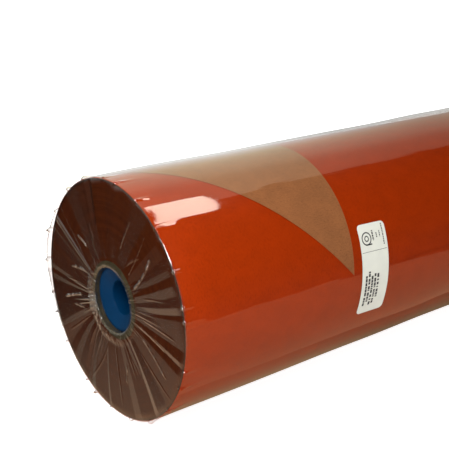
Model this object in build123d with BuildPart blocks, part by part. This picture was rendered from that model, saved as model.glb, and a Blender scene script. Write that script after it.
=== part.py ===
from build123d import *
import os
from math import cos, degrees, radians, sin

# A counter roll of coloured kraft wrapping paper, lying on its side in its clear film wrap, with a
# push-in plug in each end of the core. One corner of the paper's free end is folded back and shows
# the plain reverse.
#
# Millimetres. +X runs along the roll, +Z is up, and the origin is on the axis at mid-length.
# Turn angles go round the axis from the top towards -Y, which is a right-hand turn about +X.
# Places on the web are (along, around): along from the roll's left end, and around from the free
# edge back over the top. Places on a plug are (depth, radius), with depth from the paper's end face.

# Roll
PAPER_WIDTH = 500.0
CORE_BORE_RADIUS = 25.0
CORE_WALL = 5.0
WOUND_RADIUS = 91.8
PAPER_THICKNESS = 0.2
FREE_EDGE_ANGLE = 84.6
FREE_EDGE_GAP = 0.6

# Folded corner: the lengths of the free edge and of the left edge that it takes with it
CORNER_ALONG = 160.0
CORNER_AROUND = 170.0

# Cutters that shape the folded corner: how far below the last turn they start, how thick they are,
# how far they run past the corner to the left, to the right and beyond the fold's end, how far the
# uncut corner runs beyond the fold's end, and how far a cutter's side leans along the roll
CUT_START = 0.5
CUT_DEPTH = 2.0
CUT_LEFT = 5.0
CUT_RIGHT = 40.0
CUT_BEYOND_FOLD = 4.0
BLANK_BEYOND_FOLD = 3.0
LINE_LEAN = 1.0

# Film wrap: a sleeve, gathered over each end and tucked into the core
FILM_THICKNESS = 0.2
FILM_LIFT = 0.05
GATHER_THICKNESS = 1.0
GATHER_ROUND = 0.8
TUCK_LENGTH = 26.0
TUCK_THICKNESS = 0.2

# End plug
PLUG_CLEARANCE = 0.08
PLUG_RECESS = 3.2
PLUG_LENGTH = 28.0
SLEEVE_WALL = 1.6
RIM_WIDTH = 2.0
RIM_ROUND = 0.5
DISH_DEPTH = 4.8
DISH_WALL = 1.8
HUB_BORE_RADIUS = 13.2
HUB_WALL = 1.8
HUB_ROUND = 1.4
RIB_COUNT = 6
RIB_THICKNESS = 1.4
RIB_SETBACK = 4.0
RIB_BITE = 0.4

# Label, stuck on the film over the free edge
LABEL_WIDTH = 30.0
LABEL_HEIGHT = 73.5
LABEL_THICKNESS = 0.15
LABEL_LIFT = 0.02
LABEL_ALONG = 184.0
LABEL_AROUND = -0.3
LABEL_TILT = 2.2
LABEL_CORNER = 3.5

right_end = PAPER_WIDTH / 2
left_end = -right_end
core_radius = CORE_BORE_RADIUS + CORE_WALL
turn_radius = WOUND_RADIUS + PAPER_THICKNESS
flap_radius = turn_radius + PAPER_THICKNESS
film_inner_radius = flap_radius + FILM_LIFT
film_radius = film_inner_radius + FILM_THICKNESS
tuck_bore_radius = CORE_BORE_RADIUS - TUCK_THICKNESS
plug_radius = tuck_bore_radius - PLUG_CLEARANCE

along_roll = Vector(1, 0, 0)


def radial(turn_angle):
    """The direction out from the axis at a turn angle in degrees."""
    return Vector(0, -sin(radians(turn_angle)), cos(radians(turn_angle)))


def axial_plane(turn_angle):
    """The plane through the axis at a turn angle, with x along the roll and y out from the axis."""
    return Plane(origin=(0, 0, 0), x_dir=along_roll, z_dir=along_roll.cross(radial(turn_angle)))


def web_angle(around):
    """The turn angle of a place this far back round the web from its free edge."""
    return FREE_EDGE_ANGLE - degrees(around / turn_radius)


def wound_line(start, end, radius):
    """A straight line of the flat web, from start to end, wound round the roll at a radius."""
    rise = end[0] - start[0]
    turn = web_angle(end[1]) - web_angle(start[1])
    frame = Plane(
        origin=(left_end + start[0], 0, 0),
        x_dir=radial(web_angle(start[1])),
        z_dir=along_roll if rise > 0 else -along_roll,
    )
    helix = Edge.make_helix(
        pitch=360 * abs(rise / turn),
        height=abs(rise),
        radius=radius,
        lefthand=(rise > 0) != (turn > 0),
    )
    return helix.moved(frame.location)


def wound_patch(line, side_line, radius):
    """The face on a cylinder between two lines of the web, each a pair of places."""
    return Face.make_surface_from_curves(
        wound_line(*line, radius), wound_line(*side_line, radius)
    )


# The fold runs from a tip on the free edge to the web's left edge, and mirrors the cut corner
tip = (CORNER_ALONG, 0.0)
fold_end = (0.0, CORNER_AROUND)
mirror_share = 2 * CORNER_ALONG * CORNER_AROUND / (CORNER_ALONG**2 + CORNER_AROUND**2)
mirrored_corner = (mirror_share * CORNER_AROUND, mirror_share * CORNER_ALONG)

# Two cutters through the last turn and the flap. Their lines run a little past the tip, within the
# gap at the free edge, and a little past the fold's other end.
cut_radius = WOUND_RADIUS - CUT_START
cut_outwards = radial(web_angle(CORNER_AROUND / 2))
low = -FREE_EDGE_GAP / 2
high = CORNER_AROUND + CUT_BEYOND_FOLD
clear_left = -CUT_LEFT
clear_right = CORNER_ALONG + CUT_RIGHT
fold_lean = -CORNER_ALONG / CORNER_AROUND
flap_lean = (mirrored_corner[0] - tip[0]) / (mirrored_corner[1] - tip[1])
fold_line = [(tip[0] + fold_lean * around, around) for around in (low, high)]
flap_line = [(tip[0] + flap_lean * around, around) for around in (low, high)]
left_of_fold = wound_patch(
    fold_line, [(clear_left, low), (clear_left - LINE_LEAN, high)], cut_radius
)
right_of_flap = wound_patch(
    flap_line, [(clear_right, low), (clear_right + LINE_LEAN, high)], cut_radius
)

# Cardboard core tube
with BuildPart() as core_tube:
    with BuildSketch(Plane.YZ.offset(left_end)):
        Circle(core_radius)
        Circle(CORE_BORE_RADIUS, mode=Mode.SUBTRACT)
    extrude(amount=PAPER_WIDTH)
core_tube.part.label = "core_tube"

# The wound web, all its turns but the last
with BuildPart() as paper_winding:
    with BuildSketch(Plane.YZ.offset(left_end)):
        Circle(WOUND_RADIUS)
        Circle(core_radius, mode=Mode.SUBTRACT)
    extrude(amount=PAPER_WIDTH)
paper_winding.part.label = "paper_winding"

# The last turn, from the free edge back round to just under it, without the folded corner
with BuildPart() as outer_turn:
    with BuildSketch(axial_plane(FREE_EDGE_ANGLE)):
        with Locations((0, WOUND_RADIUS + PAPER_THICKNESS / 2)):
            Rectangle(PAPER_WIDTH, PAPER_THICKNESS)
    revolve(
        axis=Axis((0, 0, 0), -along_roll),
        revolution_arc=360 - degrees(FREE_EDGE_GAP / turn_radius),
    )
    thicken(left_of_fold, CUT_DEPTH, normal_override=cut_outwards, mode=Mode.SUBTRACT)
outer_turn.part.label = "outer_turn"

# The corner itself, folded back flat on the last turn: a ring sector trimmed along the fold, along
# the mirrored free edge and along the mirrored left edge
fold_end_point = along_roll * (left_end + fold_end[0]) + radial(web_angle(fold_end[1])) * turn_radius
corner_point = (
    along_roll * (left_end + mirrored_corner[0])
    + radial(web_angle(mirrored_corner[1])) * turn_radius
)
top_cut = Plane(
    origin=fold_end_point,
    x_dir=corner_point - fold_end_point,
    z_dir=(corner_point - fold_end_point).cross(radial(web_angle(fold_end[1]))),
)
with BuildPart() as folded_corner:
    with BuildSketch(axial_plane(FREE_EDGE_ANGLE)):
        with Locations((left_end + clear_right / 2, turn_radius + PAPER_THICKNESS / 2)):
            Rectangle(clear_right, PAPER_THICKNESS)
    revolve(
        axis=Axis((0, 0, 0), -along_roll),
        revolution_arc=FREE_EDGE_ANGLE - web_angle(CORNER_AROUND + BLANK_BEYOND_FOLD),
    )
    thicken(left_of_fold, CUT_DEPTH, normal_override=cut_outwards, mode=Mode.SUBTRACT)
    thicken(right_of_flap, CUT_DEPTH, normal_override=cut_outwards, mode=Mode.SUBTRACT)
    split(bisect_by=top_cut, keep=Keep.TOP)
folded_corner.part.label = "folded_corner"

# Clear film in one piece: sleeve, gathered end covers and tucks in the core
with BuildPart() as film_wrap:
    with BuildSketch(Plane.XY):
        with BuildLine():
            Polyline(
                (0, film_radius),
                (right_end + GATHER_THICKNESS, film_radius),
                (right_end + GATHER_THICKNESS, tuck_bore_radius),
                (right_end - TUCK_LENGTH, tuck_bore_radius),
                (right_end - TUCK_LENGTH, CORE_BORE_RADIUS),
                (right_end, CORE_BORE_RADIUS),
                (right_end, film_inner_radius),
                (0, film_inner_radius),
                close=True,
            )
        half_profile = make_face()
        fillet(half_profile.vertices().group_by(Axis.X)[-1], radius=GATHER_ROUND)
        mirror(about=Plane.YZ)
    revolve(axis=Axis.X)
film_wrap.part.label = "film_wrap"


def dish_front(radius):
    """How deep the plug's dished face lies at a radius."""
    rim_radius = plug_radius - RIM_WIDTH
    return PLUG_RECESS + DISH_DEPTH * (rim_radius - radius) / (rim_radius - HUB_BORE_RADIUS)


def dish_back(radius):
    """How deep the back of the dished face lies at a radius."""
    return dish_front(radius) + DISH_WALL


# Moulded plug: a sleeve in the core, a dished face and a hub tube that takes the spindle, with
# radial ribs behind the face
sleeve_bore_radius = plug_radius - SLEEVE_WALL
hub_radius = HUB_BORE_RADIUS + HUB_WALL
plug_end = PLUG_RECESS + PLUG_LENGTH
rib_end = plug_end - RIB_SETBACK
rib_inner_start = left_end + dish_back(hub_radius) - RIB_BITE
rib_outer_start = left_end + dish_back(sleeve_bore_radius) - RIB_BITE
with BuildPart() as end_plug_left:
    with BuildSketch(Plane(origin=(left_end, 0, 0))):
        with BuildLine():
            Polyline(
                (PLUG_RECESS, plug_radius),
                (plug_end, plug_radius),
                (plug_end, sleeve_bore_radius),
                (dish_back(sleeve_bore_radius), sleeve_bore_radius),
                (dish_back(hub_radius), hub_radius),
                (plug_end, hub_radius),
                (plug_end, HUB_BORE_RADIUS),
                (dish_front(HUB_BORE_RADIUS), HUB_BORE_RADIUS),
                (PLUG_RECESS, plug_radius - RIM_WIDTH),
                close=True,
            )
        make_face()
        fillet(vertices().group_by(Axis.X)[0], radius=RIM_ROUND)
        fillet(vertices().group_by(Axis.Y)[0].sort_by(Axis.X)[0], radius=HUB_ROUND)
    revolve(axis=Axis.X)
    for rib in range(RIB_COUNT):
        with BuildSketch(axial_plane(360 * rib / RIB_COUNT)):
            with BuildLine():
                Polyline(
                    (rib_inner_start, hub_radius - RIB_BITE),
                    (left_end + rib_end, hub_radius - RIB_BITE),
                    (left_end + rib_end, sleeve_bore_radius + RIB_BITE),
                    (rib_outer_start, sleeve_bore_radius + RIB_BITE),
                    close=True,
                )
            make_face()
        extrude(amount=RIB_THICKNESS / 2, both=True)
end_plug_left.part.label = "end_plug_left"

with BuildPart() as end_plug_right:
    mirror(end_plug_left.part, about=Plane.YZ)
end_plug_right.part.label = "end_plug_right"


def label_place(across, up):
    """The place on the web that lies under a point of the label, measured from its centre."""
    lean = radians(LABEL_TILT)
    return (
        LABEL_ALONG + across * cos(lean) + up * sin(lean),
        LABEL_AROUND - across * sin(lean) + up * cos(lean),
    )


# Label: a rounded sheet bent round the film, leaning a little to the right at its top
half_width = LABEL_WIDTH / 2
half_height = LABEL_HEIGHT / 2
label_face = wound_patch(
    [label_place(-half_width, -half_height), label_place(-half_width, half_height)],
    [label_place(half_width, -half_height), label_place(half_width, half_height)],
    film_radius + LABEL_LIFT,
)
with BuildPart() as label:
    thicken(label_face, amount=LABEL_THICKNESS, normal_override=radial(web_angle(LABEL_AROUND)))
    fillet(edges().filter_by(lambda e: e.length < 2 * LABEL_THICKNESS), radius=LABEL_CORNER)
label.part.label = "label"

os.makedirs("parts", exist_ok=True)
pieces = [
    core_tube,
    paper_winding,
    outer_turn,
    folded_corner,
    film_wrap,
    end_plug_left,
    end_plug_right,
    label,
]
for piece in pieces:
    export_step(piece.part, f"parts/{piece.part.label}.step")
    print(piece.part.label, round(piece.part.volume), piece.part.bounding_box())
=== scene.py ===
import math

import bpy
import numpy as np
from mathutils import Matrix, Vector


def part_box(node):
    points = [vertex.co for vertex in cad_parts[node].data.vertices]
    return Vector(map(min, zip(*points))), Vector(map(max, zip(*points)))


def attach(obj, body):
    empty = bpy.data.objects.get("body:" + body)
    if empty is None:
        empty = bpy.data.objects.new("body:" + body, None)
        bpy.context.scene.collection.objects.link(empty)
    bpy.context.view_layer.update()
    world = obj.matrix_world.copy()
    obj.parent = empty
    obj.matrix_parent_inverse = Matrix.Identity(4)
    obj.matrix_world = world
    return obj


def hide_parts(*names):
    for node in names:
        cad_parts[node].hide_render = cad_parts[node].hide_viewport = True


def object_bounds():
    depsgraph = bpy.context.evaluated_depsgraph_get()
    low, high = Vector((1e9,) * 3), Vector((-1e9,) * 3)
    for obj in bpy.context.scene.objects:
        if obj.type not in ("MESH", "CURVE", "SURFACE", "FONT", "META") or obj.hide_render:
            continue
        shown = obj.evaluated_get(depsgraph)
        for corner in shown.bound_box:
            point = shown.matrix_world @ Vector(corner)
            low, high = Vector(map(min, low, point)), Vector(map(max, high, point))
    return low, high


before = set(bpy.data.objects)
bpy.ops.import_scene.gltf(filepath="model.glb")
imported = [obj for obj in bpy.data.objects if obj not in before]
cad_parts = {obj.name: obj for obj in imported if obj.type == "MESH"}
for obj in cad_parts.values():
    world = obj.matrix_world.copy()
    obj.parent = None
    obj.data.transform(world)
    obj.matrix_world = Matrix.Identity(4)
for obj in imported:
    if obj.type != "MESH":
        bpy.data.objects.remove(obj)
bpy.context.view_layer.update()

# A film-wrapped counter roll of terracotta kraft paper: the paper, its core, the film and the label are
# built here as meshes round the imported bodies, and the moulded plugs keep their CAD shape.
#
# Metres, in the row frame: +X along the roll, +Z up, origin on the axis at mid-length. Turn angles go
# round the axis from the top towards -Y. Places on the web are (along, around): along from the roll's
# left end, and around from the free edge back over the top.

MM = 0.001
TAU = 2 * math.pi

# ---------------------------------------------------------------- sizes, from the frame where it has them
half_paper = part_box("paper_winding")[1][0]
wound_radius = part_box("paper_winding")[1][2]
turn_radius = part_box("outer_turn")[1][2]
film_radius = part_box("film_wrap")[1][2]
core_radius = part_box("core_tube")[1][2]
floor_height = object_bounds()[0][2]

CORE_WALL = 5 * MM
FREE_EDGE_ANGLE = math.radians(84.6)
CORNER_ALONG = 160 * MM
CORNER_AROUND = 170 * MM
PAPER = 0.12 * MM
FILM_OVERLAP = 50 * MM
TUCK_LENGTH = 26 * MM
core_bore = core_radius - CORE_WALL
turn_length = TAU * turn_radius


# ---------------------------------------------------------------- node trees
def add_node(tree, kind, inputs=None, **settings):
    """A shader node with its settings, its inputs given as numbers, colours or other nodes' sockets."""
    node = tree.nodes.new("ShaderNode" + kind)
    for key, value in settings.items():
        setattr(node, key, value)
    for key, value in (inputs or {}).items():
        if isinstance(value, bpy.types.NodeSocket):
            tree.links.new(value, node.inputs[key])
        else:
            node.inputs[key].default_value = value
    return node


def new_material(name):
    """An empty node material and its tree."""
    material = bpy.data.materials.new(name)
    material.use_nodes = True
    material.node_tree.nodes.clear()
    return material, material.node_tree


def finish_material(tree, shader):
    add_node(tree, "OutputMaterial", {"Surface": shader})


def noise(tree, scale, detail=2.0, stretch=(1, 1, 1), roughness=0.5):
    """Noise over the piece's own place in the row frame, finer along an axis with a larger stretch."""
    place = add_node(tree, "TexCoord").outputs["Object"]
    mapped = add_node(tree, "Mapping", {"Vector": place, "Scale": stretch})
    return add_node(
        tree,
        "TexNoise",
        {"Vector": mapped.outputs["Vector"], "Scale": scale, "Detail": detail, "Roughness": roughness},
    ).outputs["Fac"]


def ramp(tree, value, *stops):
    """A colour ramp with (position, colour) stops."""
    node = add_node(tree, "ValToRGB", {"Fac": value})
    elements = node.color_ramp.elements
    while len(elements) < len(stops):
        elements.new(0.5)
    for element, (position, colour) in zip(elements, stops):
        element.position = position
        element.color = (*colour, 1)
    return node.outputs["Color"]


def blend_colours(tree, share, first, second, mode="MIX"):
    """first where share is 0 and second, mixed in the given way, where it is 1."""
    node = add_node(tree, "Mix", data_type="RGBA", blend_type=mode)
    for index, value in ((0, share), (6, first), (7, second)):
        if isinstance(value, bpy.types.NodeSocket):
            tree.links.new(value, node.inputs[index])
        elif index == 0:
            node.inputs[index].default_value = value
        else:
            node.inputs[index].default_value = (*value, 1)
    return node.outputs[2]


def calculate(tree, operation, *values):
    """One Math node."""
    node = add_node(tree, "Math", operation=operation)
    for index, value in enumerate(values):
        if isinstance(value, bpy.types.NodeSocket):
            tree.links.new(value, node.inputs[index])
        else:
            node.inputs[index].default_value = value
    return node.outputs[0]


def bump(tree, height, distance, strength=1.0):
    return add_node(
        tree, "Bump", {"Height": height, "Distance": distance, "Strength": strength}
    ).outputs["Normal"]


def shades(colour, low, high):
    """The same colour, darker and lighter."""
    return [tuple(c * k for c in colour) for k in (low, high)]


# ---------------------------------------------------------------- materials
def printed_kraft():
    """Terracotta print on machine-glazed kraft: cloudy formation, lines round the roll and fine fibres."""
    material, tree = new_material("printed_kraft")
    dark, light = shades((0.335, 0.0285, 0.0011), 0.93, 1.06)
    clouds = noise(tree, 70, 5, (1, 1.6, 1.6))
    fibres = noise(tree, 900, 3, (2.2, 0.5, 0.5))
    colour = ramp(tree, clouds, (0.3, dark), (0.7, light))
    flecks = ramp(tree, fibres, (0.36, (0.84, 0.80, 0.78)), (0.52, (1, 1, 1)))
    colour = blend_colours(tree, 1.0, colour, flecks, "MULTIPLY")
    rough = ramp(tree, fibres, (0.2, (0.40,) * 3), (0.8, (0.55,) * 3))
    shader = add_node(
        tree,
        "BsdfPrincipled",
        {
            "Base Color": colour,
            "Roughness": rough,
            "Specular IOR Level": 0.06,
            "Normal": bump(tree, fibres, 0.02 * MM, 0.5),
        },
    )
    finish_material(tree, shader.outputs["BSDF"])
    return material


def natural_kraft():
    """Unprinted kraft: warm brown with long pale and dark fibres and small shives."""
    material, tree = new_material("natural_kraft")
    dark, light = shades((0.285, 0.106, 0.035), 0.92, 1.07)
    clouds = noise(tree, 90, 5)
    fibres = noise(tree, 1000, 4, (0.5, 1.6, 1.6), 0.65)
    shives = noise(tree, 420, 1, (1.0, 3.0, 3.0))
    colour = ramp(tree, clouds, (0.3, dark), (0.7, light))
    threads = ramp(tree, fibres, (0.3, (0.78, 0.76, 0.72)), (0.5, (1, 1, 1)), (0.72, (1.12, 1.12, 1.12)))
    colour = blend_colours(tree, 1.0, colour, threads, "MULTIPLY")
    specks = ramp(tree, shives, (0.24, (0.55, 0.5, 0.45)), (0.32, (1, 1, 1)))
    colour = blend_colours(tree, 0.8, colour, specks, "MULTIPLY")
    shader = add_node(
        tree,
        "BsdfPrincipled",
        {
            "Base Color": colour,
            "Roughness": 0.72,
            "Specular IOR Level": 0.3,
            "Normal": bump(tree, fibres, 0.03 * MM, 0.6),
        },
    )
    finish_material(tree, shader.outputs["BSDF"])
    return material


def distance_from_axis(tree):
    """How far a point is from the roll's axis, in metres."""
    place = add_node(tree, "TexCoord").outputs["Object"]
    flat = add_node(tree, "VectorMath", {0: place, 1: (0, 1, 1)}, operation="MULTIPLY")
    return add_node(tree, "VectorMath", {0: flat.outputs["Vector"]}, operation="LENGTH").outputs["Value"]


def cut_edges():
    """The web's cut edges at the roll's end: brown kraft with thin orange lines where the print shows."""
    material, tree = new_material("cut_edges")
    radius = distance_from_axis(tree)
    turns = add_node(tree, "TexNoise", {"W": radius, "Scale": 2600.0, "Detail": 3.0}, noise_dimensions="1D")
    bands = add_node(tree, "TexNoise", {"W": radius, "Scale": 240.0, "Detail": 2.0}, noise_dimensions="1D")
    colour = ramp(
        tree,
        turns.outputs["Fac"],
        (0.28, (0.030, 0.0064, 0.0012)),
        (0.5, (0.046, 0.0090, 0.0016)),
        (0.72, (0.070, 0.0125, 0.0022)),
    )
    broad = ramp(tree, bands.outputs["Fac"], (0.3, (0.84, 0.84, 0.84)), (0.7, (1.06, 1.06, 1.06)))
    colour = blend_colours(tree, 1.0, colour, broad, "MULTIPLY")
    fuzz = ramp(tree, noise(tree, 260, 4), (0.3, (0.86, 0.86, 0.86)), (0.7, (1.08, 1.08, 1.08)))
    colour = blend_colours(tree, 1.0, colour, fuzz, "MULTIPLY")
    # Painted shade: the cut edges go near black over the last few millimetres before the rim, which draws a
    # dark line along the end's outer edge.
    limits = {"Value": radius, "From Min": turn_radius - 3 * MM, "From Max": turn_radius - 0.6 * MM}
    rim_painted_shade = add_node(tree, "MapRange", limits).outputs["Result"]
    colour = blend_colours(tree, rim_painted_shade, colour, (0.012, 0.004, 0.001))
    shader = add_node(
        tree,
        "BsdfPrincipled",
        {
            "Base Color": colour,
            "Roughness": 0.9,
            "Specular IOR Level": 0.02,
            "Normal": bump(tree, turns.outputs["Fac"], 0.03 * MM, 0.5),
        },
    )
    finish_material(tree, shader.outputs["BSDF"])
    return material


def core_board():
    """Grey-brown recycled board with flecks and a faint ply pattern."""
    material, tree = new_material("core_board")
    dark, light = shades((0.042, 0.032, 0.016), 0.8, 1.15)
    clouds = noise(tree, 160, 5)
    fibres = noise(tree, 900, 4, (1, 1, 1), 0.7)
    colour = ramp(tree, clouds, (0.3, dark), (0.7, light))
    flecks = ramp(tree, fibres, (0.3, (0.7, 0.68, 0.66)), (0.5, (1, 1, 1)), (0.75, (1.15, 1.15, 1.15)))
    colour = blend_colours(tree, 1.0, colour, flecks, "MULTIPLY")
    plies = add_node(
        tree, "TexNoise", {"W": distance_from_axis(tree), "Scale": 1500.0}, noise_dimensions="1D"
    ).outputs["Fac"]
    shader = add_node(
        tree,
        "BsdfPrincipled",
        {
            "Base Color": colour,
            "Roughness": 0.9,
            "Specular IOR Level": 0.05,
            "Normal": bump(tree, calculate(tree, "ADD", fibres, plies), 0.08 * MM, 0.6),
        },
    )
    finish_material(tree, shader.outputs["BSDF"])
    return material


def clear_film():
    """Thin clear film: what is behind shows, under a gloss that grows towards grazing. Where it lies in
    several layers it is also a little milky, and where it is crinkled it has small bumps and more gloss."""
    material, tree = new_material("clear_film")
    ripple = noise(tree, 30, 2, (1, 1, 1), 0.5)
    scuffs = noise(tree, 420, 4, (0.4, 1.5, 1.5), 0.7)
    height = calculate(tree, "ADD", ripple, calculate(tree, "MULTIPLY", scuffs, 0.03))
    normal = bump(tree, height, 0.12 * MM, 0.5)
    # The layers attribute also holds extra layers on one stretch of the rim, put there for a painted
    # highlight.
    layers = add_node(tree, "Attribute", attribute_name="layers").outputs["Fac"]
    crinkled = add_node(tree, "Attribute", attribute_name="crinkled").outputs["Fac"]
    crinkles = calculate(tree, "MULTIPLY", noise(tree, 800, 2, (1, 1, 1), 0.7), crinkled)
    normal = add_node(
        tree, "Bump", {"Height": crinkles, "Distance": 1.6 * MM, "Strength": 1.0, "Normal": normal}
    ).outputs["Normal"]
    facing = add_node(tree, "LayerWeight", {"Blend": 0.5, "Normal": normal}).outputs["Facing"]
    edge = calculate(tree, "MULTIPLY_ADD", calculate(tree, "POWER", facing, 5.0), 0.955, 0.045)
    faces = calculate(tree, "MULTIPLY_ADD", layers, 0.45, 1.7)
    faces = calculate(tree, "MULTIPLY_ADD", crinkled, 3.5, faces)
    both_faces = calculate(tree, "MINIMUM", calculate(tree, "MULTIPLY", edge, faces), 0.95)
    rough = ramp(tree, scuffs, (0.3, (0.02,) * 3), (0.75, (0.06,) * 3))
    gloss = add_node(tree, "BsdfAnisotropic", {"Color": (1, 1, 1, 1), "Roughness": rough, "Normal": normal})
    passed = calculate(tree, "MAXIMUM", calculate(tree, "MULTIPLY_ADD", layers, -0.035, 0.985), 0.4)
    clear = add_node(tree, "BsdfTransparent", {"Color": passed})
    milk = add_node(tree, "BsdfDiffuse", {"Color": (0.72, 0.66, 0.56, 1)})
    milky = calculate(tree, "MINIMUM", calculate(tree, "MULTIPLY", layers, 0.006), 0.1)
    body = add_node(tree, "MixShader", {0: milky, 1: clear.outputs["BSDF"], 2: milk.outputs["BSDF"]})
    shader = add_node(
        tree, "MixShader", {0: both_faces, 1: body.outputs["Shader"], 2: gloss.outputs["BSDF"]}
    )
    finish_material(tree, shader.outputs["Shader"])
    return material


def blue_plastic():
    """Blue injection-moulded plastic with a fine spark-eroded texture and faint flow marks."""
    material, tree = new_material("blue_plastic")
    dark, light = shades((0.0004, 0.022, 0.066), 0.88, 1.1)
    flow = noise(tree, 45, 4)
    grain = noise(tree, 1500, 2)
    colour = ramp(tree, flow, (0.3, dark), (0.7, light))
    rough = ramp(tree, grain, (0.25, (0.36,) * 3), (0.75, (0.50,) * 3))
    shader = add_node(
        tree,
        "BsdfPrincipled",
        {
            "Base Color": colour,
            "Roughness": rough,
            "Specular IOR Level": 0.06,
            "Normal": bump(tree, grain, 0.03 * MM, 0.6),
        },
    )
    finish_material(tree, shader.outputs["BSDF"])
    return material


def label_paper():
    """White semi-gloss sticker stock, very slightly warm and uneven."""
    material, tree = new_material("label_paper")
    clouds = noise(tree, 140, 4)
    colour = ramp(tree, clouds, (0.3, (0.68, 0.685, 0.62)), (0.7, (0.72, 0.725, 0.65)))
    shader = add_node(
        tree,
        "BsdfPrincipled",
        {
            "Base Color": colour,
            "Roughness": 0.42,
            "Specular IOR Level": 0.45,
            "Normal": bump(tree, noise(tree, 1200, 2), 0.01 * MM, 0.4),
        },
    )
    finish_material(tree, shader.outputs["BSDF"])
    return material


def label_ink():
    """Thermal print: near black, a little broken."""
    material, tree = new_material("label_ink")
    colour = ramp(tree, noise(tree, 2600, 2), (0.35, (0.012, 0.012, 0.015)), (0.7, (0.045, 0.045, 0.05)))
    shader = add_node(tree, "BsdfPrincipled", {"Base Color": colour, "Roughness": 0.6})
    finish_material(tree, shader.outputs["BSDF"])
    return material


def light_table():
    """White acrylic that glows a little, and more to the camera, so that the floor shows white."""
    material, tree = new_material("studio_floor")
    colour = ramp(tree, noise(tree, 3, 3), (0.3, (0.86, 0.86, 0.86)), (0.7, (0.88, 0.88, 0.88)))
    seen = add_node(tree, "LightPath").outputs["Is Camera Ray"]
    glow = calculate(tree, "MULTIPLY_ADD", seen, 0.72, 0.25)
    inputs = {
        "Base Color": colour,
        "Roughness": 0.9,
        "Specular IOR Level": 0.1,
        "Emission Color": (1, 1, 1, 1),
        "Emission Strength": glow,
    }
    finish_material(tree, add_node(tree, "BsdfPrincipled", inputs).outputs["BSDF"])
    return material


# ---------------------------------------------------------------- meshes
def build(name, points, faces, material, smooth=True):
    """An object made of points and faces, in the row frame."""
    mesh = bpy.data.meshes.new(name)
    mesh.from_pydata([tuple(p) for p in points], [], faces)
    mesh.validate()
    mesh.materials.append(material)
    mesh.polygons.foreach_set("use_smooth", [smooth] * len(mesh.polygons))
    piece = bpy.data.objects.new(name, mesh)
    bpy.context.scene.collection.objects.link(piece)
    return piece


def grid_faces(rows, columns, wrap_rows=False, wrap_columns=False, start=0):
    """Quads of a grid whose points are numbered row by row."""
    last_row = rows if wrap_rows else rows - 1
    last_column = columns if wrap_columns else columns - 1
    faces = []
    for i in range(last_row):
        for j in range(last_column):
            a = start + i * columns + j
            b = start + i * columns + (j + 1) % columns
            c = start + ((i + 1) % rows) * columns + (j + 1) % columns
            d = start + ((i + 1) % rows) * columns + j
            faces.append((a, b, c, d))
    return faces


def closed_sheet(top, under):
    """Points and faces of a thin closed sheet, from the grids of its upper and its lower points."""
    count, width = top.shape[:2]
    below_start = count * width
    faces = grid_faces(count, width)
    below = [tuple(reversed([i + below_start for i in face])) for face in faces]
    rim = [i * width for i in range(count)]
    rim += [(count - 1) * width + j for j in range(1, width)]
    rim += [i * width + width - 1 for i in range(count - 2, -1, -1)]
    rim += [j for j in range(width - 2, 0, -1)]
    wall = [(a, b, b + below_start, a + below_start) for a, b in zip(rim, rim[1:] + rim[:1])]
    points = np.concatenate([top.reshape(-1, 3), under.reshape(-1, 3)])
    return points, faces + below + wall


def around_axis(x, angle, radius):
    """Points at these places along the axis, turn angles and radii."""
    x, angle, radius = np.broadcast_arrays(x, angle, radius)
    return np.stack([x, -radius * np.sin(angle), radius * np.cos(angle)], axis=-1)


def around_bump(angle, centre, width):
    """A smooth bump round the roll, 1 at its centre, with its place and width in degrees."""
    offset = (angle - math.radians(centre) + math.pi) % TAU - math.pi
    return np.exp(-((offset / math.radians(width)) ** 2))


# How far the left end's turns run out at the back, and where and how wide that is, in degrees
RUN_OUT = 2.0 * MM
RUN_OUT_ANGLE = -100
RUN_OUT_WIDTH = 75


def wind_out(points):
    """Moves the back of the left end out a little, where the turns have run out of line in winding."""
    points = np.array(points, dtype=float)
    angle = np.arctan2(-points[..., 1], points[..., 2])
    radius = np.hypot(points[..., 1], points[..., 2])
    depth = np.clip(points[..., 0] + half_paper, 0, None)
    share = np.clip(radius / turn_radius, 0, 1) ** 2 * np.exp(-depth / (40 * MM))
    share = share * np.clip((radius - core_radius) / (10 * MM), 0, 1) * (points[..., 0] < 0)
    points[..., 0] -= RUN_OUT * around_bump(angle, RUN_OUT_ANGLE, RUN_OUT_WIDTH) * share
    return points


def web_angle(around):
    return FREE_EDGE_ANGLE - around / turn_radius


def sharpen(piece, degrees=35):
    """Keeps a piece's hard edges hard under smooth shading."""
    mesh = piece.data
    limit = math.radians(degrees)
    normals = [p.normal.copy() for p in mesh.polygons]
    owners = {}
    for polygon in mesh.polygons:
        for key in polygon.edge_keys:
            owners.setdefault(key, []).append(polygon.index)
    for edge in mesh.edges:
        sides = owners.get(tuple(sorted(edge.vertices)), [])
        if len(sides) == 2 and normals[sides[0]].angle(normals[sides[1]], 0) > limit:
            edge.use_edge_sharp = True


def smooth_noise(angle, seed, waves):
    """A smooth closed random curve round the roll, with the given numbers of waves, about -1 to 1."""
    rng = np.random.default_rng(seed)
    total = np.zeros_like(angle)
    for count in waves:
        total += rng.uniform(0.5, 1) * np.sin(count * angle + rng.uniform(0, TAU))
    return total / math.sqrt(len(waves))


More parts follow.
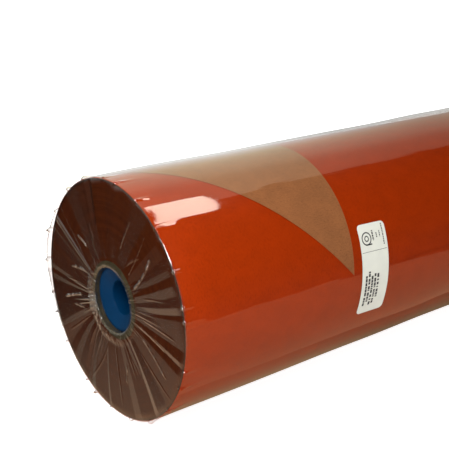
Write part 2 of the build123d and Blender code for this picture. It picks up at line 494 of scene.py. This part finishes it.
# ---------------------------------------------------------------- paper
def make_winding(material_side, material_end):
    """All turns but the last: a side that spirals in by one paper, and ends with layers that stand a
    little in and out of line."""
    rng = np.random.default_rng(11)
    columns = 360
    turn = np.linspace(0, TAU, columns, endpoint=False)
    angle = FREE_EDGE_ANGLE - turn
    radii = np.linspace(core_radius + 0.1 * MM, wound_radius - 0.3 * MM, 150)
    telescoping = np.cumsum(rng.normal(0, 0.02 * MM, len(radii)))
    telescoping -= np.linspace(telescoping[0], telescoping[-1], len(radii))
    telescoping = np.clip(telescoping, -0.15 * MM, 0.15 * MM) + rng.normal(0, 0.01 * MM, len(radii))
    inset = 0.2 * MM
    rows = []
    for radius, out in zip(radii, telescoping):
        wobble = 0.05 * MM * smooth_noise(angle, 5, (3, 7, 12))
        rows.append(around_axis(-half_paper + inset + out + wobble, angle, radius))
    outer = wound_radius - 0.2 * MM * turn / TAU
    rows.append(around_axis(-half_paper + 0.1 * MM, angle, outer - 0.05 * MM))
    side = [-half_paper + 0.2 * MM, -half_paper + 30 * MM, 0.0, half_paper - 30 * MM, half_paper - 0.2 * MM]
    for x in side:
        rows.append(around_axis(x, angle, outer))
    rows.append(around_axis(half_paper - 0.1 * MM, angle, outer - 0.05 * MM))
    for radius, out in zip(radii[::-1], telescoping[::-1]):
        rows.append(around_axis(half_paper - inset + out, angle, radius))
    piece = build(
        "paper_winding_turns",
        wind_out(np.concatenate(rows)),
        grid_faces(len(rows), columns, wrap_rows=True, wrap_columns=True),
        material_end,
    )
    piece.data.materials.append(material_side)
    first_side = len(radii) + 1
    for polygon in piece.data.polygons:
        row = polygon.index // columns
        if first_side <= row < first_side + len(side) - 1:
            polygon.material_index = 1
    sharpen(piece)
    return piece


def fold_along(around):
    """How far from the left end the fold is, at a distance round from the free edge."""
    return np.clip(CORNER_ALONG * (1 - around / CORNER_AROUND), 0, None)


def make_outer_turn(material):
    """The last turn, from the free edge back round to just under it, without the folded corner."""
    gap = 0.3 * MM
    near = np.linspace(0, CORNER_AROUND, 150)
    rest = np.linspace(CORNER_AROUND, turn_length - gap, 300)[1:]
    around = np.concatenate([near, rest])
    share = np.linspace(0, 1, 24) ** 1.15
    left = fold_along(around)[:, None]
    along = left + (2 * half_paper - left) * share[None, :]
    drop = 0.2 * MM * around / turn_length
    outer = (turn_radius - drop)[:, None]
    inner = outer - PAPER
    angle = web_angle(around)[:, None]
    top = around_axis(-half_paper + along, angle, outer)
    under = around_axis(-half_paper + along, angle, inner)
    points, faces = closed_sheet(top, under)
    piece = build("last_turn", wind_out(points), faces, material)
    sharpen(piece)
    return piece


def make_flap(material):
    """The corner, folded back brown side out. It stands up a little along the fold, where the stiff
    paper springs."""
    mirror = 2 * CORNER_ALONG * CORNER_AROUND / (CORNER_ALONG**2 + CORNER_AROUND**2)
    tip = np.array([CORNER_ALONG, 0.0])
    fold_end = np.array([0.0, CORNER_AROUND])
    corner = np.array([mirror * CORNER_AROUND, mirror * CORNER_ALONG])
    lines = 90
    steps = 70
    places = []
    for i in range(lines + 1):
        start = tip + (fold_end - tip) * (i / lines)
        end = tip + (corner - tip) * (i / lines)
        for j in range(steps + 1):
            places.append(start + (end - start) * (j / steps))
    places = np.array(places)
    along_fold = (fold_end - tip) / np.linalg.norm(fold_end - tip)
    offset = places - tip
    from_fold = np.abs(offset[:, 0] * along_fold[1] - offset[:, 1] * along_fold[0])
    spring = 0.16 * MM * np.exp(-((from_fold / (2.5 * MM)) ** 2))
    angle = web_angle(places[:, 1])
    low = turn_radius + 0.02 * MM + spring
    high = low + PAPER
    top = around_axis(-half_paper + places[:, 0], angle, high)
    under = around_axis(-half_paper + places[:, 0], angle, low)
    shape = (lines + 1, steps + 1, 3)
    points, faces = closed_sheet(top.reshape(shape), under.reshape(shape))
    piece = build("folded_back_corner", wind_out(points), faces, material)
    sharpen(piece)
    return piece


# ---------------------------------------------------------------- core
def make_core(material):
    """Spiral-wound board tube, with the butt seam of its inner ply and slightly furred ends."""
    columns = 180
    angle = np.linspace(0, TAU, columns, endpoint=False)
    rows = []
    lengthwise = np.linspace(-half_paper, half_paper, 260)
    lead = 130 * MM
    for x in lengthwise:
        seam = (angle - TAU * x / lead + math.pi) % TAU - math.pi
        groove = 0.35 * MM * np.exp(-((seam / 0.045) ** 2))
        edge = 0.4 * MM * math.exp(-((half_paper - abs(x)) / (0.8 * MM)))
        rows.append(around_axis(x, angle, core_bore + 0.02 * MM + groove + edge))
    end_radii = np.linspace(core_bore + 1.0 * MM, core_radius - 0.6 * MM, 9)
    furring = 0.12 * MM * smooth_noise(angle, 21, (5, 11, 23, 37))
    for radius in end_radii:
        rows.append(around_axis(half_paper - 0.15 * MM + furring * 0.6, angle, radius))
    for x in (half_paper - 0.5 * MM, 0.0, -half_paper + 0.5 * MM):
        rows.append(around_axis(x, angle, core_radius))
    for radius in end_radii[::-1]:
        rows.append(around_axis(-half_paper + 0.15 * MM - furring, angle, radius))
    piece = build(
        "board_core",
        np.concatenate(rows),
        grid_faces(len(rows), columns, wrap_rows=True, wrap_columns=True),
        material,
    )
    sharpen(piece, 50)
    return piece


# ---------------------------------------------------------------- film
# How far the lap stands off the layer under it, on the roll and in the core beside the plug
LAP_LIFT = 0.14 * MM
TUCK_LAP_LIFT = 0.03 * MM
SEAM_ANGLE = math.radians(-122)
FACETS = 52
FOLDS = 46
LONG_CREASES = 25
EDGE_FINS = 23
FILM_COLUMNS = 812
# Where the film stands loose, with place and width in degrees: slack at the back of both rims, and a
# tent over the back of the top that grows towards the right end
SLACK_ANGLE = -80
SLACK_LIFT = 2.6 * MM
TENT_ANGLE = -32
LOOSE_WIDTH = 26


def long_creases(rng):
    """Long creases over one end, at random: turn angle and radius of the inner and the outer end, height,
    and how crinkled the film is along each."""
    creases = []
    for number in range(LONG_CREASES):
        angle = TAU * (number + rng.uniform(-0.4, 0.4)) / LONG_CREASES
        lean = math.radians(rng.normal(0, 5))
        inner = rng.uniform(36, 50) * MM
        outer = min(inner + rng.uniform(10, 50) * MM, 90 * MM)
        height = rng.uniform(0.3, 0.6) * MM
        creases.append((angle, inner, angle + lean, outer, height, rng.choice([0, 0.1, 0.4, 0.8])))
    return creases


def edge_fins(rng):
    """Places round one rim where the film is pinched into a small fin: turn angle and height."""
    angles = TAU * (np.arange(EDGE_FINS) + rng.uniform(-0.35, 0.35, EDGE_FINS)) / EDGE_FINS - math.pi
    return list(zip(angles, rng.uniform(1.2, 3.0, EDGE_FINS) * MM))


def end_profile(face_steps, sleeve_steps):
    """Half of the film's profile as (distance from the roll's middle, radius) from the tuck in the core
    out over the end to the sleeve, in metres."""
    places = []
    for share in np.linspace(0, 1, 4):
        places.append((half_paper - TUCK_LENGTH * (1 - share) - 1.5 * MM, core_bore - 0.13 * MM))
    for x, r in ((0.3, 0.0), (1.0, 0.35), (1.5, 1.1), (1.75, 2.2), (1.8, 3.6), (1.6, 5.4), (1.3, 7.8)):
        places.append((half_paper + x * MM, core_bore + r * MM))
    inner = places[-1][1]
    outer = film_radius - 2.4 * MM
    for share in np.linspace(0, 1, face_steps + 1)[1:]:
        lift = 1.2 + (0.7 - 1.2) * share
        places.append((half_paper + lift * MM, inner + (outer - inner) * share))
    for x, r in ((0.62, -1.4), (0.5, -0.7), (0.25, -0.22), (-0.1, -0.03)):
        places.append((half_paper + x * MM, film_radius + r * MM))
    for x in (-0.8, -1.8, -3.2, -5.2, -8.0, -12.0, -18.0, -26.0):
        places.append((half_paper + x * MM, film_radius))
    start = half_paper - 26 * MM
    for share in np.linspace(0, 1, sleeve_steps + 1)[1:]:
        places.append((start * (1 - share), film_radius))
    return np.array(places)


def pleats(rng):
    """The gathers of one end. Returns a function that gives, at a radius, how far the film stands out
    from the end face at each turn angle, how many extra layers lie there and how crinkled it is. Flat
    facets run in from the rim, small folds fill the last part before the core, and a few long
    creases lie over both."""
    gaps = rng.gamma(1.6, 1.0, FACETS) + 0.25
    lines = np.cumsum(gaps) / gaps.sum() * TAU
    jitter = rng.normal(0, 0.02, FACETS)
    sway = 0.16 * smooth_noise(lines, rng.integers(1000), (1, 2, 3))
    facet_height = rng.uniform(0.0, 0.4, FACETS) * MM
    facet_height[::2] += rng.uniform(0.35, 1.0, len(facet_height[::2])) * MM
    facet_layers = rng.choice([0, 0.3, 0.7, 1.3, 1.9, 2.7], FACETS)
    fold_at = rng.uniform(0, TAU, FOLDS)
    fold_width = rng.uniform(0.03, 0.11, FOLDS)
    fold_side = rng.choice([-1, 1], FOLDS)
    fold_height = rng.uniform(0.1, 0.42, FOLDS) * MM
    fold_reach = rng.uniform(0.12, 0.62, FOLDS)
    creases = long_creases(rng)

    def at(angle, radius):
        out = min(max((radius - core_bore) / (film_radius - core_bore), 0), 1)
        place = np.sort(lines + (sway + jitter) * (1 - out))
        around = (angle - place[0]) % TAU + place[0]
        knots = np.append(place, place[0] + TAU)
        heights = np.append(facet_height, facet_height[0]) * (0.35 + 0.65 * out)
        stand = np.interp(around, knots, heights)
        facet = np.clip(np.searchsorted(knots, around, side="right") - 1, 0, FACETS - 1)
        layers = facet_layers[facet] * (0.6 + 0.4 * (1 - out))
        crinkled = np.zeros_like(angle)
        for k in range(FOLDS):
            share = np.clip((fold_reach[k] - out) / 0.25, 0, 1)
            offset = ((angle - fold_at[k]) * fold_side[k] + 0.02) % TAU - 0.02
            width = fold_width[k] * (0.3 + 0.7 * share) + 0.004
            inside = np.clip(1 - offset / width, 0, 1) * np.clip(1 + offset / 0.016, 0, 1)
            stand = stand + fold_height[k] * share * inside
            layers = layers + 0.9 * share * (inside > 0.02)
        for (a0, r0, a1, r1, height, glint) in creases:
            share = (radius - r0) / (r1 - r0)
            if 0 < share < 1:
                line = a0 + (a1 - a0) * share
                offset = np.abs((angle - line + math.pi) % TAU - math.pi) * radius
                size = height * math.sin(math.pi * share) ** 0.4
                stand = stand + size * np.clip(1 - offset / (0.6 * MM), 0, 1)
                glint = glint * rng.choice([0.1, 0.3, 0.9, 1.5])
                crinkled = np.maximum(crinkled, glint * np.clip(1.6 - offset / (0.7 * MM), 0, 1))
        settle = min(max((radius - core_bore) / (8 * MM), 0.12), 1)
        rim_fade = min(max((film_radius - radius) / (5 * MM), 0.1), 1)
        return np.minimum(stand, 2.4 * MM) * settle * rim_fade, layers, crinkled

    return at


def make_film(material):
    """One sheet of film, wrapped once round the roll with a lap at the back, gathered over both ends
    and tucked into the core. Underneath it is pressed flat on the floor."""
    rng = np.random.default_rng(7)
    columns = FILM_COLUMNS
    lap = FILM_OVERLAP / film_radius
    turn = np.linspace(0, TAU + lap, columns)
    angle = SEAM_ANGLE + turn
    over = np.clip((turn - TAU + 0.14) / 0.12, 0, 1)
    left = end_profile(34, 18)
    right = end_profile(15, 17)
    profile = np.concatenate([left * (-1, 1), right[::-1][1:]])
    step = np.gradient(profile, axis=0)
    step /= np.linalg.norm(step, axis=1)[:, None]
    out_x, out_r = -step[:, 1], step[:, 0]
    gathers = {-1: pleats(np.random.default_rng(23)), 1: pleats(np.random.default_rng(31))}
    fins = {-1: edge_fins(np.random.default_rng(41)), 1: edge_fins(np.random.default_rng(43))}
    waves = [(rng.uniform(70, 190), rng.integers(2, 6), rng.uniform(0, TAU)) for _ in range(7)]
    mouth_noise = rng.normal(0, 1, (len(profile), columns))
    rows = []
    layer_rows = []
    crinkle_rows = []
    for i, (x, r) in enumerate(profile):
        side = -1 if x < 0 else 1
        from_rim = half_paper - abs(x)
        on_face = from_rim < 0 and r < film_radius - 0.3 * MM
        lift = np.zeros(columns)
        thick = np.zeros(columns)
        crinkled = np.zeros(columns)
        if on_face or (from_rim < 1 * MM and r > film_radius - 4 * MM):
            lift, thick, crinkled = gathers[side](angle, r)
        elif from_rim < 30 * MM and r > core_radius:
            lift = gathers[side](angle, film_radius)[0] * math.exp(-from_rim / (6 * MM))
        if r < core_bore + 9 * MM and from_rim < 0.5 * MM:
            rough = np.convolve(mouth_noise[i], (0.25, 0.5, 0.25), mode="same")
            lift = lift + 0.28 * MM * np.abs(rough)
            thick = thick * 0.3
            blurred = np.convolve(mouth_noise[i], np.hanning(11) / 5, mode="same")
            spots = np.clip(4.5 * blurred, 0.05, 1.2) ** 2
            crinkled = np.maximum(crinkled * 0.5, spots * (0.03 + around_bump(angle, -112, 42)))
        if r < core_bore:
            lift = lift * 0
        if r > film_radius - 1 * MM:
            wave = np.zeros(columns)
            for length, count, phase in waves:
                wave += np.sin(TAU * x / (length * MM) + count * angle + phase)
            depth = np.clip(from_rim / (25 * MM), 0, 1)
            near_label = np.exp(-(((x + 66 * MM) / (30 * MM)) ** 2))
            near_label = near_label * np.exp(-(((angle - FREE_EDGE_ANGLE) / 0.6) ** 2))
            lift = lift + 0.06 * MM * depth * (1 - near_label) * (2.2 + wave)
            for place, height in fins[side]:
                offset = (angle - place + math.pi) % TAU - math.pi
                width = (1.1 + max(from_rim, 0) / MM * 0.16) * MM
                fade = math.exp(-max(from_rim, 0) / (4.5 * MM))
                fin = np.clip(1 - np.abs(offset) * film_radius / width, 0, 1)
                lift = lift + height * fade * fin
                crinkled = np.maximum(crinkled, 0.25 * fade * fin)
                thick = np.maximum(thick, (14 if place < 0 else 0) * fade * np.sqrt(fin))
            # Painted highlight: extra layers on one stretch of the rim's fold raise the film's gloss and
            # milk there, so that the fold shows a bright line on that stretch only.
            if from_rim < 0.5 * MM:
                thick = thick + 4 * np.exp(-(((np.degrees(angle) + 180) % 360 - 251) / 24) ** 4)
            slack = around_bump(angle, SLACK_ANGLE, LOOSE_WIDTH)
            thick = np.maximum(thick, 4 * slack * math.exp(-max(from_rim, 0) / (8 * MM)))
            lift = lift + SLACK_LIFT * slack * math.exp(-max(from_rim, 0) / (14 * MM)) * (1 + 0.2 * wave)
            slope = max(0, (x + half_paper) / (2 * half_paper)) ** 2
            tent = around_bump(angle, TENT_ANGLE, LOOSE_WIDTH) * (1.2 + 6.0 * slope) * MM
            lift = lift + tent * np.clip(from_rim / (20 * MM), 0, 1)
        lift = lift + (LAP_LIFT if r > core_bore else TUCK_LAP_LIFT) * over
        rows.append(around_axis(x + out_x[i] * lift, angle, r + out_r[i] * lift))
        layer_rows.append(thick)
        crinkle_rows.append(crinkled)
    points = wind_out(np.concatenate(rows))
    points[:, 2] = np.maximum(points[:, 2], floor_height)
    piece = build("film_wrap_sheet", points, grid_faces(len(profile), columns), material)
    for name, places in (("layers", layer_rows), ("crinkled", crinkle_rows)):
        values = piece.data.attributes.new(name, "FLOAT", "POINT")
        values.data.foreach_set("value", np.concatenate(places).astype(np.float32))
    return piece


# ---------------------------------------------------------------- label
LABEL_SIZE = (30 * MM, 73.5 * MM)
LABEL_CENTRE = (184 * MM, -0.3 * MM)
LABEL_TILT = math.radians(2.2)
LABEL_CORNER = 3.5 * MM
LABEL_LIFT = 0.1 * MM
LABEL_THICKNESS = 0.09 * MM
PRINT_LIFT = 0.105 * MM


def label_points(places, lift):
    """Points over places on the label, each (across from its left, down from its top)."""
    places = np.asarray(places, dtype=float)
    across = places[..., 0] - LABEL_SIZE[0] / 2
    up = LABEL_SIZE[1] / 2 - places[..., 1]
    along = LABEL_CENTRE[0] + across * math.cos(LABEL_TILT) + up * math.sin(LABEL_TILT)
    around = LABEL_CENTRE[1] - across * math.sin(LABEL_TILT) + up * math.cos(LABEL_TILT)
    return around_axis(-half_paper + along, web_angle(around), film_radius + lift)


def label_edge(down):
    """The label's left and right limits at a distance below its top, with rounded corners."""
    from_end = min(down, LABEL_SIZE[1] - down)
    inset = 0.0
    if from_end < LABEL_CORNER:
        inset = LABEL_CORNER - math.sqrt(LABEL_CORNER**2 - (LABEL_CORNER - from_end) ** 2)
    return inset, LABEL_SIZE[0] - inset


def make_label(material):
    """A thin sticker bent over the film, with rounded corners, lying just off the film."""
    corner = np.array([0, 0.03, 0.12, 0.3, 0.55, 0.8, 1.0]) * LABEL_CORNER
    middle = np.linspace(LABEL_CORNER, LABEL_SIZE[1] - LABEL_CORNER, 40)[1:-1]
    downs = np.concatenate([corner, middle, LABEL_SIZE[1] - corner[::-1]])
    width = 13
    places = []
    for down in downs:
        low, high = label_edge(down)
        places.append([(low + (high - low) * share, down) for share in np.linspace(0, 1, width)])
    top = label_points(places, LABEL_LIFT + LABEL_THICKNESS)
    under = label_points(places, LABEL_LIFT)
    points, faces = closed_sheet(top, under)
    piece = build("sticker", points, faces, material)
    sharpen(piece)
    return piece


def print_bar(low, high):
    """A printed bar's places, between two corners (across, down) in millimetres, in small quads."""
    steps = max(1, int(math.ceil((high[1] - low[1]) / 1.5)))
    downs = np.linspace(low[1], high[1], steps + 1)
    return [[(low[0], d) for d in downs], [(high[0], d) for d in downs]]


def make_print(material):
    """Stand-in print: a roll mark, a few bars beside it, a rule, and a block of broken bars that run
    along the label as small print would. It spells nothing."""
    rng = np.random.default_rng(3)
    points = []
    faces = []

    def add_bar(low, high):
        left, right = print_bar(low, high)
        start = len(points)
        count = len(left)
        points.extend(left)
        points.extend(right)
        for k in range(count - 1):
            faces.append((start + k, start + k + 1, start + count + k + 1, start + count + k))

    def add_ring(centre, outer, inner, share=1.0, begin=0.0):
        start = len(points)
        count = 40
        for k in range(count + 1):
            turn = begin + TAU * share * k / count
            for radius in (outer, inner):
                points.append((centre[0] + radius * math.cos(turn), centre[1] + radius * math.sin(turn)))
        for k in range(count):
            a = start + 2 * k
            faces.append((a, a + 1, a + 3, a + 2))

    def add_broken_line(across, thick, start, end, longest, gaps):
        down = start
        while down < end:
            run = rng.uniform(0.8, longest)
            add_bar((across, down), (across + thick, min(down + run, end)))
            down += run + rng.choice(gaps)

    add_ring((7.8, 11.6), 5.3, 4.3)
    add_ring((7.8, 11.6), 2.4, 1.5)
    add_bar((7.8, 15.9), (13.0, 16.9))
    add_broken_line(14.2, 1.5, 5.8, 13.8, 2.2, [0.4, 0.9])
    add_broken_line(18.6, 1.2, 8.2, 12.4, 1.4, [0.35])
    add_broken_line(22.2, 1.0, 7.2, 12.0, 1.4, [0.35])
    add_broken_line(25.8, 1.1, 1.8, 18.6, 1.9, [0.4])
    add_bar((1.2, 21.8), (28.8, 22.15))
    for across, start, end in (
        (3.8, 40.5, 67.5),
        (7.1, 37.5, 63.0),
        (10.4, 41.5, 67.0),
        (13.7, 40.0, 65.5),
        (17.0, 40.5, 60.5),
    ):
        add_broken_line(across, 2.15, start, end, 3.4, [0.35, 0.5, 1.3])
    places = np.array(points) * MM
    surface = label_points(places, LABEL_LIFT + PRINT_LIFT)
    return build("sticker_print", surface, faces, material)


# ---------------------------------------------------------------- make the pieces
kraft = printed_kraft()
brown = natural_kraft()
edges = cut_edges()
board = core_board()
film_material = clear_film()
plastic = blue_plastic()
sticker_stock = label_paper()
ink = label_ink()

winding = make_winding(kraft, edges)
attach(winding, "roll")
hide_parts("paper_winding")

last_turn = make_outer_turn(kraft)
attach(last_turn, "roll")
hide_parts("outer_turn")

flap = make_flap(brown)
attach(flap, "roll")
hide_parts("folded_corner")

core = make_core(board)
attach(core, "roll")
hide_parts("core_tube")

film = make_film(film_material)
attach(film, "roll")
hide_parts("film_wrap")

sticker = make_label(sticker_stock)
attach(sticker, "roll")
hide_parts("label")
marks = make_print(ink)
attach(marks, "roll")

for node in ("end_plug_left", "end_plug_right"):
    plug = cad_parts[node]
    plug.data.materials.clear()
    plug.data.materials.append(plastic)


# ---------------------------------------------------------------- studio
# Levels and tints of the light that comes from each side, as reflections show it
OPEN_BACK = 0.60
DARK_FRONT = 0.004
LOW_FRONT = 0.39
LOW_LEFT = 0.62
SKY_TINT = (1.0, 0.96, 0.72)
SKYLINE_TINT = (1.0, 1.0, 0.97)
TABLE_TINT = (1.0, 0.62, 0.34)
LEFT_TINT = (1.0, 0.84, 0.62)
FLOOR_TINT = (1.0, 0.66, 0.42)


def make_floor():
    size = 14.0
    corners = [(-size, -size), (size, -size), (size, size), (-size, size)]
    points = [(x, y, floor_height - 0.02 * MM) for x, y in corners]
    piece = build("floor", points, [(0, 1, 2, 3)], light_table(), smooth=False)
    piece.visible_glossy = False
    return piece


def make_card(name, corners, colour, strength):
    """A flat card that only reflections see."""
    material, tree = new_material(name)
    shader = add_node(tree, "Emission", {"Color": (*colour, 1), "Strength": strength})
    finish_material(tree, shader.outputs["Emission"])
    piece = build(name, corners, [tuple(range(len(corners)))], material, smooth=False)
    piece.visible_camera = False
    piece.visible_diffuse = False
    piece.visible_shadow = False
    piece.visible_transmission = False
    piece.visible_volume_scatter = False
    return piece


def make_world():
    """The studio as the film reflects it, white to the camera itself. Seen from the roll's front it is
    lighter above and behind, dark in front and lighter again low down. Turn is the direction's angle
    round the roll's axis in degrees, 0 level in front and 90 straight up, and elevation is its height.
    The levels, the boundaries and the tints are set for the camera's view."""
    world = bpy.data.worlds.new("studio")
    world.use_nodes = True
    bpy.context.scene.world = world
    tree = world.node_tree
    tree.nodes.clear()
    direction = add_node(tree, "TexCoord").outputs["Generated"]
    split = add_node(tree, "SeparateXYZ", {"Vector": direction}).outputs
    forward = calculate(tree, "MULTIPLY", split["Y"], -1)
    around = calculate(tree, "ARCTAN2", split["Z"], forward)
    turn = calculate(tree, "MULTIPLY_ADD", around, 180 / math.pi, 90)
    turn = calculate(tree, "SUBTRACT", calculate(tree, "FLOORED_MODULO", turn, 360), 90)
    elevation = calculate(tree, "MULTIPLY", calculate(tree, "ARCSINE", split["Z"]), 180 / math.pi)

    def step_up(value, low, high, before, after):
        inputs = {"Value": value, "From Min": low, "From Max": high, "To Min": before, "To Max": after}
        return add_node(tree, "MapRange", inputs, interpolation_type="SMOOTHSTEP").outputs["Result"]

    wobble = add_node(tree, "TexNoise", {"Vector": direction, "Scale": 11.0, "Detail": 2.0}).outputs["Fac"]
    wobble = calculate(tree, "SUBTRACT", wobble, 0.5)
    above = step_up(calculate(tree, "MULTIPLY_ADD", wobble, 26.0, turn), 94, 98, DARK_FRONT, OPEN_BACK)
    beyond = calculate(tree, "MAXIMUM", calculate(tree, "SUBTRACT", split["X"], 0.66), 0.0)
    edge = calculate(tree, "MULTIPLY_ADD", beyond, 90.0, turn)
    edge = calculate(tree, "MULTIPLY_ADD", wobble, 9.0, edge)
    below = step_up(edge, -17, -15, LOW_FRONT, 0.0)
    above = calculate(tree, "MULTIPLY", above, step_up(split["X"], 0.58, 0.80, 1.0, 0.42))
    above = calculate(tree, "MULTIPLY", above, step_up(turn, 116, 134, 1.0, 1.38))
    above = calculate(tree, "MAXIMUM", above, step_up(turn, 150, 175, 0.0, 0.55))
    above = calculate(tree, "MULTIPLY", above, step_up(turn, 182, 202, 1.0, 0.3))
    left_above = step_up(elevation, -11, 8, DARK_FRONT, OPEN_BACK)
    left_below = step_up(elevation, -38, -19, LOW_LEFT, DARK_FRONT)
    leftward = step_up(split["X"], -0.04, 0.04, 1.0, 0.0)
    backward = step_up(split["Y"], -0.1, 0.0, 0.0, 1.0)
    on_left = calculate(tree, "MULTIPLY", leftward, backward)
    side = {0: on_left, 2: above, 3: left_above}
    high = add_node(tree, "Mix", side, data_type="FLOAT").outputs[0]
    side = {0: on_left, 2: below, 3: left_below}
    low = add_node(tree, "Mix", side, data_type="FLOAT").outputs[0]
    sky_tint = blend_colours(tree, step_up(turn, 152, 174, 0.0, 1.0), SKY_TINT, SKYLINE_TINT)
    sky_tint = blend_colours(tree, step_up(turn, 190, 215, 0.0, 1.0), sky_tint, TABLE_TINT)
    left_tint = blend_colours(tree, step_up(elevation, -36, -24, 0.0, 1.0), FLOOR_TINT, LEFT_TINT)
    low_tint = blend_colours(tree, on_left, TABLE_TINT, left_tint)
    sky = add_node(tree, "VectorMath", {0: sky_tint, "Scale": high}, operation="SCALE").outputs["Vector"]
    table = add_node(tree, "VectorMath", {0: low_tint, "Scale": low}, operation="SCALE").outputs["Vector"]
    both = add_node(tree, "VectorMath", {0: sky, 1: table}, operation="ADD").outputs["Vector"]
    camera_ray = add_node(tree, "LightPath").outputs["Is Camera Ray"]
    shown = {"X": camera_ray, "Y": camera_ray, "Z": camera_ray}
    white = add_node(tree, "CombineXYZ", shown).outputs["Vector"]
    colour = add_node(tree, "VectorMath", {0: both, 1: white}, operation="MAXIMUM").outputs["Vector"]
    shader = add_node(tree, "Background", {"Color": colour, "Strength": 1.0})
    tree.links.new(shader.outputs["Background"], add_node(tree, "OutputWorld").inputs["Surface"])


def make_area(name, place, target, size, power, colour=(1, 1, 1)):
    data = bpy.data.lights.new(name, "AREA")
    data.shape = "RECTANGLE"
    data.size, data.size_y = size
    data.energy = power
    data.color = colour
    lamp = bpy.data.objects.new(name, data)
    bpy.context.scene.collection.objects.link(lamp)
    lamp.location = place
    aim = Vector(target) - Vector(place)
    lamp.rotation_euler = aim.to_track_quat("-Z", "Y").to_euler()
    lamp.visible_camera = False
    return lamp


make_floor()
SOFTBOX_HEIGHT = 1.3
SOFTBOX_CORNERS = [(0.5, -0.2), (0.7, -0.2), (0.7, 0.25), (0.5, 0.25)]
make_card(
    "softbox",
    [(x, y, SOFTBOX_HEIGHT) for x, y in SOFTBOX_CORNERS],
    (1.0, 0.88, 0.73),
    8.0,
)
make_world()
make_area("key_light", (-0.56, -0.41, 0.52), (-0.14, 0, 0), (0.25, 0.25), 6.0)
make_area("side_light", (-2.2, 0.35, 0.6), (-0.25, 0, 0), (0.5, 1.2), 4).visible_glossy = False
make_area("back_light", (0.2, 1.7, 0.5), (0, 0, 0), (1.6, 0.6), 16).visible_glossy = False
make_area("right_light", (1.9, 0.1, 0.5), (0.25, 0, 0), (0.6, 0.6), 9).visible_glossy = False
fill = bpy.data.lights.new("fill_sun", "SUN")
fill.energy = 0.8
fill.angle = math.radians(60)
fill_lamp = bpy.data.objects.new("fill_sun", fill)
bpy.context.scene.collection.objects.link(fill_lamp)
fill_lamp.rotation_euler = (math.radians(18), math.radians(-22), 0)
fill_lamp.visible_glossy = False

# The camera, solved from the outline of the roll: its place, the direction it looks in, and its lens
CAMERA_PLACE = (-0.55424, -0.51420, 0.25041)
CAMERA_AIM = (0.5930, 0.7438, -0.3084)
CAMERA_LENS = 69.203
camera_data = bpy.data.cameras.new("photo_camera")
camera_data.lens = CAMERA_LENS
camera_data.sensor_width = 36
camera = bpy.data.objects.new("photo_camera", camera_data)
bpy.context.scene.collection.objects.link(camera)
camera.location = CAMERA_PLACE
camera.rotation_euler = Vector(CAMERA_AIM).to_track_quat("-Z", "Y").to_euler()
bpy.context.scene.camera = camera
bpy.context.scene.view_settings.view_transform = "Standard"
